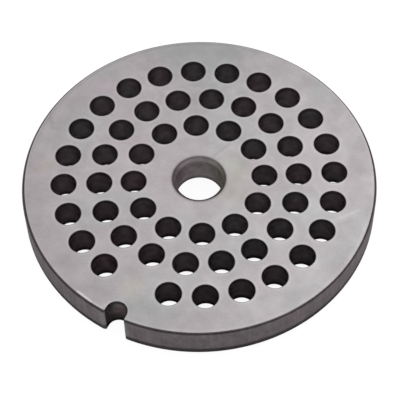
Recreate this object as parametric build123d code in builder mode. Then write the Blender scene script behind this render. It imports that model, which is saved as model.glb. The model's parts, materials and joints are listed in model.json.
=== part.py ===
"""Perforated plate of a meat grinder, size 8: one ground steel disc.

The plate lies flat with the middle of its back face at the origin. The bore's
axis is +Z, the cutting face looks along +Z, and the locating notch is at -Y.
It is turned from a blank, drilled on three circles and notched in the rim, and
both faces are ground flat, so the holes meet them in sharp cutting edges and
the plate can be turned over when one face is worn.
"""

from build123d import *
import os

# Driving dimensions, in millimetres and degrees.
plate_diameter = 62.0
plate_thickness = 6.4
rim_chamfer = 0.5

bore_diameter = 8.2
bore_chamfer = 0.6

hole_diameter = 4.5
inner_circle_diameter = 22.9
middle_circle_diameter = 34.9
outer_circle_diameter = 47.4
inner_divisions = 12
middle_divisions = 18
outer_divisions = 24

notch_width = 3.7
notch_depth = 3.15
notch_mouth_radius = 0.5
notch_angle = 270.0


def circle_of_holes(circle_diameter, divisions, left_out=0):
    """Hole places on one circle, counted from the notch, less those left out there."""
    pitch_angle = 360 / divisions
    return PolarLocations(
        circle_diameter / 2,
        divisions - left_out,
        start_angle=notch_angle + left_out * pitch_angle,
        angular_range=360 - (1 + left_out) * pitch_angle,
        endpoint=True,
    )


with BuildPart() as plate:
    # The turned blank, with its rim broken on both sides.
    Cylinder(
        plate_diameter / 2,
        plate_thickness,
        align=(Align.CENTER, Align.CENTER, Align.MIN),
    )
    rim_edges = plate.edges().filter_by(GeomType.CIRCLE)
    chamfer(rim_edges, rim_chamfer)

    # The spindle bore, with a wide lead-in on both sides.
    Hole(bore_diameter / 2)
    bore_edges = plate.edges().filter_by(GeomType.CIRCLE).group_by(SortBy.RADIUS)[0]
    chamfer(bore_edges, bore_chamfer)

    # Three circles of straight holes. The outer one gives up a hole to the notch.
    with circle_of_holes(inner_circle_diameter, inner_divisions):
        Hole(hole_diameter / 2)
    with circle_of_holes(middle_circle_diameter, middle_divisions):
        Hole(hole_diameter / 2)
    with circle_of_holes(outer_circle_diameter, outer_divisions, left_out=1):
        Hole(hole_diameter / 2)

    # The notch for the housing's peg: straight sides, a round bottom and a rounded mouth.
    with BuildSketch() as notched_outline:
        Circle(plate_diameter / 2)
        with PolarLocations(plate_diameter / 2 - notch_depth, 1, start_angle=notch_angle):
            SlotCenterPoint(
                center=(notch_width / 2 + notch_depth, 0),
                point=(notch_width / 2, 0),
                height=notch_width,
                mode=Mode.SUBTRACT,
            )
        mouth_corners = notched_outline.vertices().group_by(Axis.Y)[0]
        fillet(mouth_corners, notch_mouth_radius)
    extrude(amount=plate_thickness, mode=Mode.INTERSECT)

plate.part.label = "plate"

os.makedirs("parts", exist_ok=True)
export_step(plate.part, "parts/plate.step")
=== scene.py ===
"""The looks of a meat grinder plate: a hardened steel disc with bright ground faces.

Lengths are in millimetres until a mesh, a lamp or the camera is made, and the
frame is the CAD part's: the plate lies flat on z = 0, its bore's axis is +Z and
its notch is at -Y.
"""
import json
import math

import bpy
from mathutils import Matrix, Vector
from mathutils.geometry import delaunay_2d_cdt


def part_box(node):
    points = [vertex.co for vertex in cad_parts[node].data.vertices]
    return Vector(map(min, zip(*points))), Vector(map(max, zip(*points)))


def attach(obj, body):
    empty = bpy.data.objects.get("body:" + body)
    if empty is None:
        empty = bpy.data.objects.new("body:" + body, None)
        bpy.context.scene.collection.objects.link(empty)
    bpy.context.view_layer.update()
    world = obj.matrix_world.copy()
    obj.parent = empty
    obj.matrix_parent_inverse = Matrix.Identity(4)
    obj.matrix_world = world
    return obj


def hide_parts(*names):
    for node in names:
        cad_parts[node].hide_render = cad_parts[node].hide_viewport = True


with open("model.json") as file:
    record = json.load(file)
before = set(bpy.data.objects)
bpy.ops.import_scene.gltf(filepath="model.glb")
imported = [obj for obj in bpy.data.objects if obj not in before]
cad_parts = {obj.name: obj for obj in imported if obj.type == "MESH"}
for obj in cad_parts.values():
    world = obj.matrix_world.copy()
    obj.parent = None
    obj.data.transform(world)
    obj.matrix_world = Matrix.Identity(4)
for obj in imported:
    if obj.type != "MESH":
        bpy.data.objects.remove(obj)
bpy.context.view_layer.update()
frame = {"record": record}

MM = 0.001

# The plate's sizes, from the record's mounts where they are stated there.
mounts = {mount["name"]: mount for mount in frame["record"]["mounts"]}
THICKNESS = (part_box("plate")[1].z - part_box("plate")[0].z) / MM
RIM_RADIUS = mounts["rim"]["dims"]["r_mm"]
RIM_CHAMFER = (THICKNESS - mounts["rim"]["dims"]["length_mm"]) / 2
BORE_RADIUS = mounts["centre_bore"]["dims"]["r_mm"]
BORE_CHAMFER = (THICKNESS - mounts["centre_bore"]["dims"]["length_mm"]) / 2
HOLE_RADIUS = 2.25
# Circles of holes: radius, divisions, and how many are left out at the notch.
HOLE_CIRCLES = [(11.45, 12, 0), (17.45, 18, 0), (23.7, 24, 1)]
# The notch. The centre of its round bottom is where its mount is.
NOTCH_ANGLE = math.radians(-90)
NOTCH_HALF_WIDTH = 1.85
NOTCH_CENTRE_RADIUS = -mounts["locating_notch"]["pos_m"][1] / MM
NOTCH_MOUTH_RADIUS = 0.5

# How far the notch's and the meat holes' edges are broken, which the CAD part leaves sharp.
EDGE_BREAK = 0.04
HOLE_EDGE_BREAK = 0.015

# Levels of rubbing and painted light at a point of the mesh: lightest, plain, or dull. Lightest
# is the rim rubbed at the notch, and a painted highlight round the meat holes.
LIGHTEST, PLAIN, DULL = 1.0, 0.0, -1.0
# Distances from an edge on a face: where the ring beside it is most, where it ends, and where it is
# still half as much beside a meat hole, before the dull steel at the hole's very edge. Round the holes
# the ring is a painted highlight, beside the rim painted highlight and shade, and round the bore
# dulling.
RING_PEAK = 0.3
RING_END = 0.6
RING_HALF = 0.2
# The dulling round the bore at RING_PEAK, and the rubbing on the rim's upper and lower edges.
BORE_LIP_WEAR = -0.12
RIM_EDGE_WEAR = 0.7
# How far along the rim it is rubbed light beside the notch's rounded mouth.
RUB_WIDTH = 0.5

# The painted light differs round the plate. The faces get a painted highlight along the rim
# towards the first side and painted shade opposite. Towards the second, painted light brightens
# the rim, its chamfers, the walls of the holes and the bore. Towards the third, the rim's edges
# have a painted glint and the bore turns olive.
HIGHLIT_RIM_EDGE_SIDE = (0.85, -0.52)
LIT_SIDE = (-0.48, 0.88, 0.0)
GLINT_AND_OLIVE_SIDE = (0.88, 0.48, 0.0)

# The knife keeps the face bright out to this radius. Past it, over this width, the steel
# darkens to this share of its colour.
SWEPT_RADIUS = 24.0
MARGIN_WIDTH = 4.0
MARGIN_SHADE = 0.93
# Scuffs on the cutting face, and a painted highlight on its edge: start, end, half width, and how light
# they are against 1.
SCUFFS_AND_EDGE_HIGHLIGHT = [
    ((24.6, 2.7), (27.6, 6.6), 0.5, 1.13),
    ((25.6, 2.2), (26.9, 3.8), 0.35, 0.93),
    ((-30.4, 0.3), (-28.5, -2.2), 0.5, 0.90),
    ((16.8, 21.8), (17.3, 25.8), 0.7, 1.07),
    ((0.1, 5.4), (1.4, 9.2), 0.35, 0.90),
    ((0.7, 5.2), (2.0, 8.7), 0.3, 1.06),
    # This one is a painted highlight along the face's edge beside the notch.
    ((-7.6, -29.3), (-4.6, -30.0), 0.3, 1.6),
    ((-4.2, -30.0), (-2.5, -30.2), 0.35, 1.12),
    ((-2.5, -30.2), (-1.9, -28.7), 0.35, 1.12),
]
# Faint stains on the cutting face, and painted shade and light: centre, radius and tint.
FACE_STAINS_AND_SHADE = [
    ((4.9, 5.2, THICKNESS), 2.6, (0.99, 1.008, 0.94)),
    ((6.2, 0.8, THICKNESS), 4.8, (0.985, 0.995, 0.95)),
    ((-25.0, 10.5, THICKNESS), 3.5, (1.03, 0.975, 1.01)),
    ((0.0, -24.5, THICKNESS), 2.6, (1.0, 1.0, 0.94)),
    ((-25.4, -9.8, THICKNESS), 2.0, (1.03, 1.0, 0.96)),
    ((-10.0, 29.0, THICKNESS), 16.0, (0.97, 1.003, 0.993)),
    # The last three are not stains: two broad darker patches of painted shade and one lighter patch of
    # painted light.
    ((-13.4, 24.6, THICKNESS), 13.0, (0.925, 0.925, 0.925)),
    ((14.5, 2.6, THICKNESS), 6.5, (0.94, 0.94, 0.945)),
    ((-14.5, -2.6, THICKNESS), 6.5, (1.08, 1.06, 1.065)),
]
# Lighter and browner places on the notch's wall: centre, radius and tint.
NOTCH_STAINS = [
    ((0.0, -29.0, 3.2), 5.5, (1.17, 1.13, 1.13)),
    ((0.1, -27.95, 3.7), 1.7, (1.4, 1.26, 1.3)),
]

# Each finish lies between two base colours. The first is a little purple. The second is
# nearer to neutral, or olive in the bore.
FACE_COLOURS = ((0.387, 0.357, 0.369), (0.366, 0.361, 0.361))
RIM_COLOURS = ((0.171, 0.142, 0.152), (0.161, 0.146, 0.148))
WALL_COLOURS = ((0.095, 0.074, 0.080), (0.079, 0.073, 0.074))
BORE_COLOURS = ((0.129, 0.101, 0.110), (0.114, 0.104, 0.090))
# How much lighter rubbed steel is on the rim, and the bore where painted light falls on it.
RUBBED_TINT = (1.28, 1.4, 1.36)
PAINTED_LIGHT_TINT = (1.38, 1.46, 1.53)

# The arcs left by the grinding wheel: their centre, their spacing and a mark's usual length.
GRINDING_CENTRE = (-70, 110)
GRINDING_PITCH = 0.12
GRINDING_LENGTH = 3.0

# How finely round and straight stretches are divided, and the spacing of points on the faces.
RIM_STEPS = 360
BORE_STEPS = 128
HOLE_STEPS = 64
NOTCH_STEPS = 24
NOTCH_SIDE_STEPS = 4
MOUTH_STEPS = 8
FACE_SPACING = 1.3
# Rings on the rim's chamfer, by how far in from the rim they are. They get closer towards
# the rim, where the chamfer's end on the notch's rounded mouth runs nearly along them.
CHAMFER_INSETS = (RIM_CHAMFER - EDGE_BREAK, 0.25, 0.13, 0.06, 0.02)
# Edges of the mesh are sharp where they turn by more than this.
SHARP_ANGLE = math.radians(25)

# The finishes, in the order of the plate's material slots.
FACE, RIM, WALL, BORE = range(4)
# The triangulation's setting that leaves out what lies outside the outermost loop of edges.
INSIDE_ONLY = 1


def circle(centre, radius, steps):
    """Points round a hole, clockwise, so that the steel is on their left."""
    turns = [-2 * math.pi * i / steps for i in range(steps)]
    return [(centre[0] + radius * math.cos(a), centre[1] + radius * math.sin(a)) for a in turns]


def notch_mouth(rim_radius, notch_growth):
    """Points round the notch's mouth at +X, from its straight side to this radius."""
    half = NOTCH_HALF_WIDTH + notch_growth
    corner = NOTCH_MOUTH_RADIUS - notch_growth
    centre_radius = RIM_RADIUS - NOTCH_MOUTH_RADIUS
    x = NOTCH_HALF_WIDTH + NOTCH_MOUTH_RADIUS
    y = -math.sqrt(centre_radius ** 2 - x ** 2)
    if rim_radius < math.hypot(half, y):
        # The rounding starts further out, so the straight side goes on to this radius.
        end_y = -math.sqrt(rim_radius ** 2 - half ** 2)
        run = (-NOTCH_CENTRE_RADIUS - end_y) / 2
        return [(half, end_y + run * (1 - i / MOUTH_STEPS)) for i in range(MOUTH_STEPS + 1)]
    # The rounding meets this radius at an angle from straight outwards, by the law of cosines.
    meeting = (rim_radius ** 2 - centre_radius ** 2 - corner ** 2) / (2 * corner * centre_radius)
    sweep = math.pi + math.atan2(y, x) - math.acos(min(1.0, meeting))
    turns = [math.pi + sweep * i / MOUTH_STEPS for i in range(MOUTH_STEPS + 1)]
    return [(x + corner * math.cos(a), y + corner * math.sin(a)) for a in turns]


def outline(rim_inset, notch_growth):
    """Points round the rim and into the notch, with the steel on their left."""
    radius = RIM_RADIUS - rim_inset
    half = NOTCH_HALF_WIDTH + notch_growth
    mouth = notch_mouth(radius, notch_growth)
    gap = math.asin(mouth[-1][0] / radius)
    turns = [NOTCH_ANGLE + gap + (2 * math.pi - 2 * gap) * i / RIM_STEPS for i in range(1, RIM_STEPS)]
    points = mouth + [(radius * math.cos(a), radius * math.sin(a)) for a in turns]
    points += [(-x, y) for x, y in reversed(mouth)]
    side_y = mouth[0][1]
    run = -NOTCH_CENTRE_RADIUS - side_y
    side = [side_y + run * i / NOTCH_SIDE_STEPS for i in range(1, NOTCH_SIDE_STEPS)]
    points += [(-half, y) for y in side]
    arc = [math.pi - math.pi * i / NOTCH_STEPS for i in range(NOTCH_STEPS + 1)]
    points += [(half * math.cos(a), -NOTCH_CENTRE_RADIUS + half * math.sin(a)) for a in arc]
    points += [(half, y) for y in reversed(side)]
    return points


def rim_edge_highlight_and_shade(places):
    """Painted light on the face beside its rim: a painted highlight towards HIGHLIT_RIM_EDGE_SIDE, and
    painted shade opposite.
    """
    lit_values = []
    for x, y in places:
        facing = (x * HIGHLIT_RIM_EDGE_SIDE[0] + y * HIGHLIT_RIM_EDGE_SIDE[1]) / math.hypot(x, y)
        lit_values.append(0.25 + 0.6 * facing)
    return lit_values


def outline_rub():
    """How rubbed the rim is at each of the outline's points: full round the notch's mouth."""
    step = 2 * math.pi * RIM_RADIUS / RIM_STEPS
    rim = [max(PLAIN, 1 - min(i, RIM_STEPS - i) * step / RUB_WIDTH) for i in range(RIM_STEPS + 1)]
    rub = [LIGHTEST] * MOUTH_STEPS + rim + [LIGHTEST] * MOUTH_STEPS
    return rub + [PLAIN] * (len(outline(0, 0)) - len(rub))


def hole_centres():
    """Centres of all the meat holes, each circle counted from the notch."""
    centres = []
    for radius, divisions, left_out in HOLE_CIRCLES:
        for i in range(left_out, divisions):
            angle = NOTCH_ANGLE + 2 * math.pi * i / divisions
            centres.append((radius * math.cos(angle), radius * math.sin(angle)))
    return centres


class PlateMesh:
    """Collects the plate's points and faces, with each point's rubbing, dulling and painted light."""

    def __init__(self):
        self.points = []
        self.wear_and_painted_light = []
        self.faces = []
        self.finishes = []

    def ring(self, places, height, wear_and_painted_light):
        """Adds points at one height. Their rubbing and painted light is one number, or a list with one
        for each point.
        """
        first = len(self.points)
        self.points += [(x * MM, y * MM, height * MM) for x, y in places]
        self.wear_and_painted_light += wear_and_painted_light if isinstance(wear_and_painted_light, list) else [wear_and_painted_light] * len(places)
        return range(first, len(self.points))

    def band(self, upper, lower, finish, cut_from):
        """Joins two rings. From the point cut_from on, a rim band is the notch's wall."""
        count = len(upper)
        for i in range(count):
            j = (i + 1) % count
            self.faces.append((upper[i], lower[i], lower[j], upper[j]))
            self.finishes.append(WALL if finish == RIM and i >= cut_from else finish)

    def wall(self, loop_at, levels, cut_from=0):
        """A wall through the plate, alike on both sides. levels goes from the face to the
        middle as (depth, argument of loop_at, rubbing and painted light, finish below). Returns its end
        rings."""
        rings = [self.ring(loop_at(size), THICKNESS - depth, wear_and_painted_light) for depth, size, wear_and_painted_light, _ in levels]
        rings += [self.ring(loop_at(size), depth, wear_and_painted_light) for depth, size, wear_and_painted_light, _ in reversed(levels)]
        finishes = [finish for *_, finish in levels]
        finishes += reversed(finishes[:-1])
        for upper, lower, finish in zip(rings, rings[1:], finishes):
            self.band(upper, lower, finish, cut_from)
        return rings[0], rings[-1]

    def object(self, name):
        """The finished Blender object, smooth apart from its sharp edges."""
        mesh = bpy.data.meshes.new(name)
        mesh.from_pydata(self.points, [], self.faces)
        mesh.attributes.new("wear_and_painted_light", "FLOAT", "POINT").data.foreach_set("value", self.wear_and_painted_light)
        mesh.polygons.foreach_set("material_index", self.finishes)
        mesh.validate()
        mesh.shade_smooth()
        mesh.set_sharp_from_angle(angle=SHARP_ANGLE)
        piece = bpy.data.objects.new(name, mesh)
        bpy.context.collection.objects.link(piece)
        return piece


def in_notch(place, growth):
    """True if the place is inside the notch, made wider by this growth all round."""
    half = NOTCH_HALF_WIDTH + growth
    inner = Vector((0, -NOTCH_CENTRE_RADIUS))
    return (place - inner).length < half or (abs(place.x) < half and place.y < inner.y)


def on_steel(place, margin):
    """True if the place is on the plate's face, and this far from the edge of any opening."""
    if place.length > RIM_RADIUS - RIM_CHAMFER - margin or in_notch(place, margin):
        return False
    if place.length < BORE_RADIUS + BORE_CHAMFER + margin:
        return False
    return all((place - Vector(c)).length > HOLE_RADIUS + margin for c in hole_centres())


def face_lattice():
    """Evenly spread points on the open parts of a face, for well-shaped triangles."""
    points = []
    rows = int(RIM_RADIUS / FACE_SPACING) + 1
    row_height = FACE_SPACING * math.sqrt(0.75)
    margin = RING_END + FACE_SPACING / 3
    for row in range(-rows, rows + 1):
        shift = 0.5 * (row % 2)
        for column in range(-rows, rows + 1):
            place = Vector(((column + shift) * FACE_SPACING, row * row_height))
            if on_steel(place, margin):
                points.append(place)
    return points


def add_faces(made, walls):
    """Fills both flat faces between the walls' end rings with the same triangles.
    The first wall is the rim's, and the others are holes."""
    flat = []
    edges = []
    loop_of = []
    for number, (top, _) in enumerate(walls):
        first = len(flat)
        count = len(top)
        flat += [Vector(made.points[i][:2]) / MM for i in top]
        edges += [(first + i, first + (i + 1) % count) for i in range(count)]
        loop_of += [number] * count
    lattice = face_lattice()
    loop_of += [None] * len(lattice)
    _, _, triangles, origins, _, _ = delaunay_2d_cdt(flat + lattice, edges, [], INSIDE_ONLY, 1e-6)
    upper = [i for top, _ in walls for i in top] + list(made.ring(lattice, THICKNESS, PLAIN))
    lower = [i for _, bottom in walls for i in bottom] + list(made.ring(lattice, 0, PLAIN))
    for triangle in triangles:
        ids = [origins[i][0] for i in triangle]
        loops = {loop_of[i] for i in ids}
        in_hole = len(loops) == 1 and loops.isdisjoint({None, 0})
        if in_hole:
            continue
        made.faces.append(tuple(upper[i] for i in ids))
        made.faces.append(tuple(lower[i] for i in reversed(ids)))
        made.finishes += [FACE, FACE]


def add_rim_wall(made):
    """The rim and the notch's wall. Their loops go by an inset of the rim and a growth of
    the notch."""
    beside_rim = (RIM_CHAMFER + RING_PEAK, RING_PEAK)
    levels = [
        (0, (RIM_CHAMFER + RING_END, RING_END), PLAIN, FACE),
        # Beside the rim the face gets a painted highlight towards HIGHLIT_RIM_EDGE_SIDE and painted
        # shade opposite.
        (0, beside_rim, rim_edge_highlight_and_shade(outline(*beside_rim)), FACE),
        (0, (RIM_CHAMFER, EDGE_BREAK), RIM_EDGE_WEAR, RIM),
    ]
    levels += [(RIM_CHAMFER - inset, (inset, 0), PLAIN, RIM) for inset in CHAMFER_INSETS]
    levels.append((RIM_CHAMFER, (0, 0), outline_rub(), RIM))
    rim_end = RIM_STEPS + 2 * MOUTH_STEPS
    return made.wall(lambda size: outline(*size), levels, cut_from=rim_end)


def add_bore_wall(made):
    """The bore and its chamfers, in loops that go by how much wider than the bore they are."""
    levels = [
        (0, BORE_CHAMFER + RING_END, PLAIN, FACE),
        (0, BORE_CHAMFER + RING_PEAK, BORE_LIP_WEAR, FACE),
        (0, BORE_CHAMFER, DULL, BORE),
        (BORE_CHAMFER, 0, PLAIN, BORE),
    ]
    return made.wall(lambda size: circle((0, 0), BORE_RADIUS + size, BORE_STEPS), levels)


def add_hole_wall(made, centre):
    """One meat hole, in loops that go by how much wider than the hole they are."""
    levels = [
        (0, RING_END, PLAIN, FACE),
        # A painted highlight rings the hole on the face, brightest at RING_PEAK.
        (0, RING_PEAK, LIGHTEST, FACE),
        (0, RING_HALF, LIGHTEST / 2, FACE),
        (0, HOLE_EDGE_BREAK, DULL, WALL),
        (HOLE_EDGE_BREAK, 0, PLAIN, WALL),
    ]
    return made.wall(lambda size: circle(centre, HOLE_RADIUS + size, HOLE_STEPS), levels)


def build_plate():
    """The plate as one closed mesh."""
    made = PlateMesh()
    walls = [add_rim_wall(made), add_bore_wall(made)]
    walls += [add_hole_wall(made, centre) for centre in hole_centres()]
    add_faces(made, walls)
    return made.object("ground_plate")


plate = build_plate()
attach(plate, "root")
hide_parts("plate")


class Shader:
    """A material's node tree, with short ways to add the nodes used here."""

    def __init__(self, name):
        self.material = bpy.data.materials.new(name)
        self.material.use_nodes = True
        self.tree = self.material.node_tree
        self.principled = self.tree.nodes["Principled BSDF"]
        place = self.node("ShaderNodeTexCoord").outputs["Object"]
        self.place = self.vector("SCALE", place, scale=1 / MM)
        parts = self.node("ShaderNodeSeparateXYZ")
        self.link(self.place, parts.inputs[0])
        self.x, self.y, self.z = parts.outputs

    def node(self, kind, **settings):
        node = self.tree.nodes.new(kind)
        for key, value in settings.items():
            setattr(node, key, value)
        return node

    def link(self, source, target):
        """Links an output to an input, or sets the input to a plain value."""
        if isinstance(source, (int, float, tuple)):
            target.default_value = source
        else:
            self.tree.links.new(source, target)

    def math(self, operation, a, b=0.0):
        node = self.node("ShaderNodeMath", operation=operation)
        self.link(a, node.inputs[0])
        self.link(b, node.inputs[1])
        return node.outputs[0]

    def vector(self, operation, a, b=None, scale=None):
        node = self.node("ShaderNodeVectorMath", operation=operation)
        self.link(a, node.inputs[0])
        if b is not None:
            self.link(b, node.inputs[1])
        if scale is not None:
            self.link(scale, node.inputs["Scale"])
        return node.outputs["Value" if operation in ("DOT_PRODUCT", "DISTANCE", "LENGTH") else "Vector"]

    def joined(self, x, y, z):
        node = self.node("ShaderNodeCombineXYZ")
        for source, target in zip((x, y, z), node.inputs):
            self.link(source, target)
        return node.outputs[0]

    def noise(self, size, detail=2.0, roughness=0.5, place=None):
        """Noise from about 0 to 1, with features of this size in millimetres."""
        node = self.node("ShaderNodeTexNoise")
        self.link(place or self.place, node.inputs["Vector"])
        node.inputs["Scale"].default_value = 1 / size
        node.inputs["Detail"].default_value = detail
        node.inputs["Roughness"].default_value = roughness
        return node.outputs["Fac"]

    def ranged(self, source, low, high, start=0.3, end=0.7):
        """The source stretched from start..end to low..high, and held at the ends."""
        node = self.node("ShaderNodeMapRange")
        self.link(source, node.inputs["Value"])
        node.inputs["From Min"].default_value = start
        node.inputs["From Max"].default_value = end
        node.inputs["To Min"].default_value = low
        node.inputs["To Max"].default_value = high
        return node.outputs["Result"]

    def mix(self, share, first, second):
        """From the first colour to the second, as share goes from 0 to 1."""
        node = self.node("ShaderNodeMix", data_type="RGBA")
        self.link(share, node.inputs["Factor"])
        for colour, socket in ((first, node.inputs[6]), (second, node.inputs[7])):
            self.link((*colour, 1) if isinstance(colour, tuple) else colour, socket)
        return node.outputs[2]

    def times(self, colour, *factors):
        """The colour made lighter or darker by each factor in turn."""
        for factor in factors:
            colour = self.vector("SCALE", colour, scale=factor)
        return colour

    def tinted(self, colour, share, tint):
        """The colour, multiplied by the tint as share goes from 0 to 1."""
        return self.mix(share, colour, self.vector("MULTIPLY", colour, tint))

    def tinted_in_patches(self, colour, stains):
        """The colour, tinted within about each patch's radius, with ragged edges. The patches are
        stains, and some on the face are painted shade and light.
        """
        for centre, radius, tint in stains:
            distance = self.vector("DISTANCE", self.place, centre)
            ragged = self.ranged(self.noise(1.5, detail=2), -0.3 * radius, 0.3 * radius)
            share = self.ranged(self.math("ADD", distance, ragged), 1.0, 0.0, 0.6 * radius, radius)
            colour = self.tinted(colour, share, tint)
        return colour

    def towards(self, side):
        """How far a place is from the plate's axis, towards this side."""
        return self.vector("DOT_PRODUCT", self.place, side)

    def depth(self):
        """How deep a place is below the nearer face."""
        from_middle = self.math("ABSOLUTE", self.math("SUBTRACT", self.z, THICKNESS / 2))
        return self.math("SUBTRACT", THICKNESS / 2, from_middle)

    def dark_line(self, depth, width, low):
        """A soft dark line round a wall, at this depth below either face."""
        off = self.math("ABSOLUTE", self.math("SUBTRACT", self.depth(), depth))
        return self.ranged(off, low, 1.0, start=0, end=width)

    def stroke(self, start, end, half_width):
        """1 along a line on the cutting face, falling to 0 at half the width from it."""
        start = Vector((*start, THICKNESS))
        along = Vector((*end, THICKNESS)) - start
        from_start = self.vector("SUBTRACT", self.place, tuple(start))
        share = self.vector("DOT_PRODUCT", from_start, tuple(along / along.length_squared))
        nearest = self.vector("SCALE", tuple(along), scale=self.ranged(share, 0.0, 1.0, start=0, end=1))
        distance = self.vector("DISTANCE", from_start, nearest)
        return self.ranged(distance, 1.0, 0.0, start=0, end=half_width)

    def wear_and_painted_light(self):
        return self.node("ShaderNodeAttribute", attribute_name="wear_and_painted_light").outputs["Fac"]

    def set(self, **values):
        """Sets the shader's own sockets, for what is the same all over."""
        for name, value in values.items():
            self.principled.inputs[name.replace("_", " ")].default_value = value

    def finish(self, colour, roughness, relief, depth):
        """Links the colour, roughness and a relief of this depth in millimetres."""
        self.link(colour, self.principled.inputs["Base Color"])
        self.link(roughness, self.principled.inputs["Roughness"])
        bump = self.node("ShaderNodeBump")
        bump.inputs["Distance"].default_value = depth * MM
        self.link(relief, bump.inputs["Height"])
        self.link(bump.outputs["Normal"], self.principled.inputs["Normal"])
        return self.material


def grinding(shader):
    """Fine arcs left by the grinding wheel, from 0 to 1, round a centre off the plate."""
    x = shader.math("SUBTRACT", shader.x, GRINDING_CENTRE[0])
    y = shader.math("SUBTRACT", shader.y, GRINDING_CENTRE[1])
    distance = shader.vector("LENGTH", shader.joined(x, y, 0.0))
    lengths_per_radian = math.hypot(*GRINDING_CENTRE) / GRINDING_LENGTH
    along = shader.math("MULTIPLY", shader.math("ARCTAN2", y, x), lengths_per_radian)
    across = shader.math("MULTIPLY", distance, 1 / GRINDING_PITCH)
    return shader.noise(1.0, detail=3.0, roughness=0.6, place=shader.joined(across, along, shader.z))


def face_steel():
    """Bright satin steel, ground flat, with faint clouding, rubbed and dulled edges, scuffs and stains.
    Painted highlights ring the holes and line the rim's edge and the edge by the notch, with painted
    shade beside the rim opposite them, and broad patches of painted shade and light.
    """
    s = Shader("face_steel")
    lines = grinding(s)
    clouds = s.ranged(s.noise(9, detail=2), 0, 1, start=0.45, end=0.7)
    patches = s.ranged(s.noise(4, detail=4, roughness=0.6), 0.90, 1.10)
    grain = s.ranged(s.noise(0.25, detail=2), 0.97, 1.03)
    line_shade = s.ranged(lines, 0.965, 1.035)
    from_axis = s.vector("LENGTH", s.joined(s.x, s.y, 0.0))
    swept = s.ranged(from_axis, 1.0, MARGIN_SHADE, start=SWEPT_RADIUS, end=SWEPT_RADIUS + MARGIN_WIDTH)
    # Lighter where the steel is rubbed and where painted highlights ring the holes and line the rim;
    # darker at dulled edges and in painted shade beside the rim.
    burnish_and_highlight = s.ranged(s.wear_and_painted_light(), 1.0, 1.1, start=PLAIN, end=LIGHTEST)
    dulled_and_shaded = s.ranged(s.wear_and_painted_light(), 0.35, 1.0, start=DULL, end=PLAIN)
    colour = s.mix(clouds, *FACE_COLOURS)
    colour = s.times(colour, patches, grain, line_shade, swept, burnish_and_highlight, dulled_and_shaded)
    for start, end, half_width, shade in SCUFFS_AND_EDGE_HIGHLIGHT:
        colour = s.times(colour, s.ranged(s.stroke(start, end, half_width), 1.0, shade, 0, 1))
    colour = s.tinted_in_patches(colour, FACE_STAINS_AND_SHADE)
    roughness = s.ranged(s.noise(2.5, detail=3), 0.36, 0.46)
    roughness = s.math("ADD", roughness, s.ranged(lines, -0.03, 0.03))
    s.set(Metallic=1.0)
    return s.finish(colour, roughness, lines, 0.004)


def rim_steel():
    """The rim's steel, dark from hardening and darkest along its chamfers. Painted shade darkens it
    towards its back edge, lower down and on its near side; painted light and a painted glint
    lighten its chamfers.
    """
    s = Shader("rim_steel")
    blotches = s.ranged(s.noise(1.8, detail=4, roughness=0.6), 0.86, 1.14)
    grain = s.ranged(s.noise(0.3, detail=3), 0.9, 1.1)
    upright = s.vector("MULTIPLY", s.place, (1.0, 1.0, 0.12))
    streaks = s.ranged(s.noise(0.6, detail=2, place=upright), 0.9, 1.1)

    edge = s.dark_line(0.22, 0.26, 0.2)
    # Painted shade: darker towards the back edge, lower down, and on the side away from LIT_SIDE.
    shade_near_floor = s.ranged(s.z, 0.33, 1.0, start=1.35, end=1.95)
    painted_light_by_height = s.ranged(s.z, 0.94, 1.02, start=1.9, end=5.4)
    side = s.ranged(s.towards(LIT_SIDE), 0.95, 1.06, start=-31, end=-20)

    # Painted light makes the chamfers lighter towards LIT_SIDE. Where they meet the faces, a painted
    # glint lightens them towards GLINT_AND_OLIVE_SIDE.
    on_chamfer = s.ranged(s.depth(), 1.0, 0.0, start=0.8 * RIM_CHAMFER, end=1.1 * RIM_CHAMFER)
    far = s.ranged(s.towards(LIT_SIDE), 0, 1, start=2, end=12)
    painted_chamfer_light = s.ranged(s.math("MULTIPLY", on_chamfer, far), 1.0, 1.6, 0, 1)
    at_face = s.ranged(s.depth(), 1.0, 0.0, start=0.06, end=0.16)
    glinting = s.ranged(s.towards(GLINT_AND_OLIVE_SIDE), 0, 1, start=4, end=24)
    glint = s.ranged(s.math("MULTIPLY", glinting, at_face), 1.0, 3.5, 0, 1)

    colour = s.mix(s.ranged(s.noise(5, detail=2), 0, 1), *RIM_COLOURS)
    colour = s.times(colour, blotches, grain, streaks, edge, shade_near_floor, painted_chamfer_light, glint, painted_light_by_height, side)
    rubbed = s.ranged(s.wear_and_painted_light(), 0, 1, start=PLAIN, end=LIGHTEST)
    colour = s.tinted(colour, rubbed, RUBBED_TINT)
    roughness = s.ranged(s.noise(0.8, detail=3), 0.5, 0.65)
    s.set(Metallic=1.0, Specular_Tint=(0.5, 0.5, 0.5, 1))
    return s.finish(colour, roughness, s.noise(0.35, detail=4), 0.02)


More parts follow.
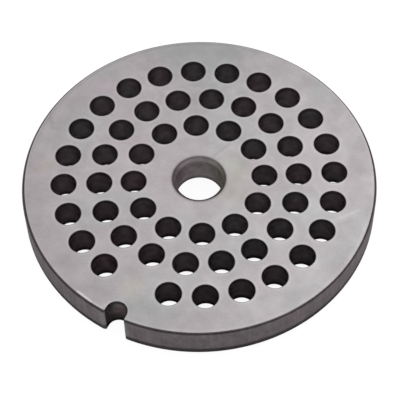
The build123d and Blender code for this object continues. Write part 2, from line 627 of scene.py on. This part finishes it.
def wall_scale():
    """The nearly black walls of the meat holes and the notch, a little different from hole
    to hole and darkest beside the faces. Painted shade darkens them towards the back, and painted
    light lightens them higher up and towards LIT_SIDE."""
    s = Shader("wall_scale")
    blotches = s.ranged(s.noise(1.2, detail=3), 0.75, 1.25)
    from_hole_to_hole = s.ranged(s.noise(6, detail=1), 0.93, 1.07)
    mouth = s.ranged(s.depth(), 0.58, 1.0, start=0.8, end=1.1)
    # Painted shade and light: darker towards the back face, lighter higher up and towards LIT_SIDE.
    painted_light_by_height = s.ranged(s.z, 0.45, 1.6, start=0.6, end=5.6)
    side = s.ranged(s.towards(LIT_SIDE), 0.87, 1.07, start=-24, end=12)
    colour = s.mix(s.ranged(s.noise(9, detail=1), 0, 1), *WALL_COLOURS)
    colour = s.times(colour, blotches, mouth, painted_light_by_height, from_hole_to_hole, side)
    colour = s.tinted_in_patches(colour, NOTCH_STAINS)
    roughness = s.ranged(s.noise(0.6, detail=2), 0.5, 0.65)
    s.set(Metallic=1.0, Specular_Tint=(0.15, 0.15, 0.15, 1))
    return s.finish(colour, roughness, s.noise(0.25, detail=3), 0.02)


def bored_steel():
    """Grey turned steel of the bore, with fine rings and lighter chamfers. Painted shade darkens it
    towards its back edge, and painted light makes it lighter and bluer towards LIT_SIDE.
    """
    s = Shader("bored_steel")
    turned = s.vector("MULTIPLY", s.place, (0.3, 0.3, 6.0))
    rings = s.noise(1.0, detail=3, place=turned)
    ring_shade = s.ranged(rings, 0.9, 1.1)
    blotches = s.ranged(s.noise(1.5, detail=3), 0.85, 1.15)
    chamfer = s.ranged(s.depth(), 1.22, 1.0, start=BORE_CHAMFER, end=1.3)
    edge = s.dark_line(0, 0.3, 0.6)
    # Painted shade: darker towards the back edge.
    shade_near_floor = s.ranged(s.z, 0.5, 1.0, start=1.0, end=1.6)
    olive = s.ranged(s.towards(GLINT_AND_OLIVE_SIDE), 0, 1, start=-4, end=4)
    colour = s.mix(olive, *BORE_COLOURS)
    colour = s.times(colour, blotches, ring_shade, chamfer, edge, shade_near_floor)
    # Painted light: lighter and bluer towards LIT_SIDE.
    painted_light_share = s.ranged(s.towards(LIT_SIDE), 0, 1, start=2.05, end=3.6)
    colour = s.tinted(colour, painted_light_share, PAINTED_LIGHT_TINT)
    roughness = s.ranged(s.noise(0.8, detail=2), 0.45, 0.6)
    s.set(Metallic=1.0, Specular_Tint=(0.5, 0.5, 0.5, 1))
    return s.finish(colour, roughness, rings, 0.01)


for material in (face_steel(), rim_steel(), wall_scale(), bored_steel()):
    plate.data.materials.append(material)


# The floor: what it gives off where it is seen, and the part of the light that it returns.
FLOOR_GLOW = 0.93
FLOOR_ALBEDO = 0.13
FLOOR_HALF_WIDTH = 3000.0
FLOOR_DROP = 0.02
# The world's strength as light, and where it is seen.
WORLD_LIGHT = 0.8
WORLD_SEEN = 1.0
# The one lamp, a large softbox above and behind the plate. Its power is in watts.
KEY_PLACE = (60, 300, 520)
KEY_SIZE = 300
KEY_POWER = 0.4


def seen_only(tree, strength):
    """A strength that holds for camera, glossy and transmission rays. For others it is 0."""
    path = tree.nodes.new("ShaderNodeLightPath")
    total = path.outputs["Is Camera Ray"]
    for name in ("Is Glossy Ray", "Is Transmission Ray"):
        most = tree.nodes.new("ShaderNodeMath")
        most.operation = "MAXIMUM"
        tree.links.new(total, most.inputs[0])
        tree.links.new(path.outputs[name], most.inputs[1])
        total = most.outputs[0]
    scaled = tree.nodes.new("ShaderNodeMath")
    scaled.operation = "MULTIPLY"
    scaled.inputs[1].default_value = strength
    tree.links.new(total, scaled.inputs[0])
    return scaled.outputs[0]


def make_floor():
    """A plain white floor, wide enough to fill any view, that still takes a faint shadow."""
    mesh = bpy.data.meshes.new("floor")
    corners = [(-1, -1), (1, -1), (1, 1), (-1, 1)]
    half = FLOOR_HALF_WIDTH * MM
    mesh.from_pydata([(x * half, y * half, -FLOOR_DROP * MM) for x, y in corners], [], [(0, 1, 2, 3)])
    floor = bpy.data.objects.new("floor", mesh)
    bpy.context.collection.objects.link(floor)
    material = bpy.data.materials.new("floor_white")
    material.use_nodes = True
    tree = material.node_tree
    shader = tree.nodes["Principled BSDF"]
    shader.inputs["Base Color"].default_value = (FLOOR_ALBEDO, FLOOR_ALBEDO, FLOOR_ALBEDO, 1)
    shader.inputs["Roughness"].default_value = 1.0
    shader.inputs["Specular IOR Level"].default_value = 0.0
    shader.inputs["Emission Color"].default_value = (1, 1, 1, 1)
    tree.links.new(seen_only(tree, FLOOR_GLOW), shader.inputs["Emission Strength"])
    mesh.materials.append(material)


def make_world():
    """Even white studio light, and plain white where it is seen."""
    world = bpy.data.worlds.new("studio")
    bpy.context.scene.world = world
    world.use_nodes = True
    tree = world.node_tree
    background = tree.nodes["Background"]
    background.inputs["Color"].default_value = (1, 1, 1, 1)
    most = tree.nodes.new("ShaderNodeMath")
    most.operation = "MAXIMUM"
    most.inputs[1].default_value = WORLD_LIGHT
    tree.links.new(seen_only(tree, WORLD_SEEN), most.inputs[0])
    tree.links.new(most.outputs[0], background.inputs["Strength"])


def area_lamp(name, place, size, power):
    """A soft square lamp aimed at the plate. Place and size are in mm, and power in watts."""
    light = bpy.data.lights.new(name, "AREA")
    light.shape = "SQUARE"
    light.size = size * MM
    light.energy = power
    lamp = bpy.data.objects.new(name, light)
    bpy.context.collection.objects.link(lamp)
    lamp.location = Vector(place) * MM
    lamp.rotation_euler = (-Vector(place)).to_track_quat("-Z", "Y").to_euler()


# The camera, by its angles round the plate, in degrees, and lengths in millimetres.
CAMERA_AZIMUTH = 28.66
CAMERA_ELEVATION = 56.75
CAMERA_ROLL = 1.48
CAMERA_DISTANCE = 267.3
CAMERA_LENS = 137.6
SENSOR = 36.0
# Where the view's middle line passes the middle of the cutting face: right of it and above it.
AIM_RIGHT = 0.07
AIM_UP = -3.77
# What is nearer to the camera than the first or further than the second isn't drawn, in metres.
CLIP_START = 0.01
CLIP_END = 20


def make_camera():
    """A long lens that looks down on the cutting face, a little to the right of the notch."""
    azimuth = math.radians(CAMERA_AZIMUTH)
    elevation = math.radians(CAMERA_ELEVATION)
    roll = math.radians(CAMERA_ROLL)
    back = Vector((
        math.sin(azimuth) * math.cos(elevation),
        -math.cos(azimuth) * math.cos(elevation),
        math.sin(elevation),
    ))
    right = Vector((math.cos(azimuth), math.sin(azimuth), 0))
    up = back.cross(right)
    aim = Vector((0, 0, THICKNESS)) + right * AIM_RIGHT + up * AIM_UP
    rolled_right = right * math.cos(roll) - up * math.sin(roll)
    rolled_up = right * math.sin(roll) + up * math.cos(roll)
    data = bpy.data.cameras.new("camera")
    data.sensor_width = SENSOR
    data.lens = CAMERA_LENS
    data.clip_start = CLIP_START
    data.clip_end = CLIP_END
    camera = bpy.data.objects.new("camera", data)
    bpy.context.collection.objects.link(camera)
    turn = Matrix((rolled_right, rolled_up, back)).transposed().to_4x4()
    camera.matrix_world = Matrix.Translation((aim + back * CAMERA_DISTANCE) * MM) @ turn
    bpy.context.scene.camera = camera


make_floor()
make_world()
area_lamp("key_softbox", KEY_PLACE, KEY_SIZE, KEY_POWER)
make_camera()
bpy.context.scene.view_settings.view_transform = "Standard"
